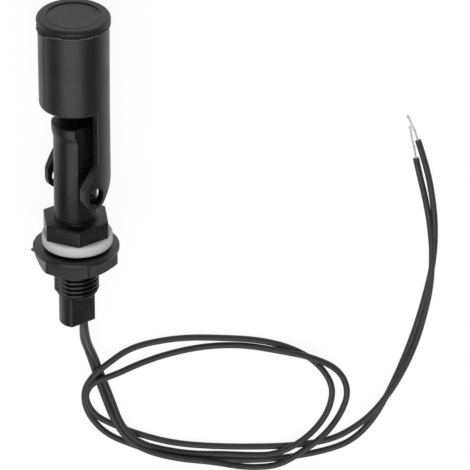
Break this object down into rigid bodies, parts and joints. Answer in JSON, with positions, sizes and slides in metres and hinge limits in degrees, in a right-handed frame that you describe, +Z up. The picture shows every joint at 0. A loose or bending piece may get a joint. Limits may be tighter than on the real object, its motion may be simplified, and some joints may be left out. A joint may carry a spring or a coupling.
{
  "type": "float level switch",
  "caption": "Black plastic side-mount float switch: hinged hollow float on a C-shaped arm, hexagon body with threaded shank, seal, lock nut and two loosely coiled leads with tinned ends.",
  "frame": {"origin": "on the table under the middle of the switch, without its leads", "axes": "+Z up from the table; +Y along the switch from the float's cap to the tail"},
  "size_m": [0.1073, 0.1467, 0.023],
  "materials": {
    "body_plastic": "satin moulded",
    "float_plastic": "satin moulded",
    "silicone": "matt",
    "ferrite": "ground",
    "reed_tube": "clear",
    "contact_metal": "drawn",
    "tinned_copper": "tinned",
    "shrink_sleeve": "satin",
    "wire_jacket": "satin",
    "resin": "cast"
  },
  "bodies": {
    "body": {"switch_body": "body_plastic", "gasket": "silicone", "potting": "resin", "lead_a": "wire_jacket", "lead_b": "wire_jacket", "reed_glass": "reed_tube", "reed_blade_a": "contact_metal", "reed_blade_b": "contact_metal", "solder_joint_a": "tinned_copper", "solder_joint_b": "tinned_copper", "sleeve_a": "shrink_sleeve", "sleeve_b": "shrink_sleeve", "wire_a": "wire_jacket", "wire_b": "wire_jacket", "strands_a": "tinned_copper", "strands_b": "tinned_copper"},
    "float": {"float_body": "float_plastic", "float_cap": "float_plastic", "magnet": "ferrite"},
    "nut": {"lock_nut": "body_plastic"}
  },
  "joints": [
    {"name": "float_hinge", "type": "hinge", "parent": "body", "child": "float", "pos_m": [0, 0.00608, 0.01111], "axis": [0.6046, 0.0184, -0.7963], "range_deg": [0, 75]},
    {"name": "nut_travel", "type": "slide", "parent": "body", "child": "nut", "axis": [0, -0.9997, -0.0231], "range_m": [-0.0075, 0.0006]}
  ]
}
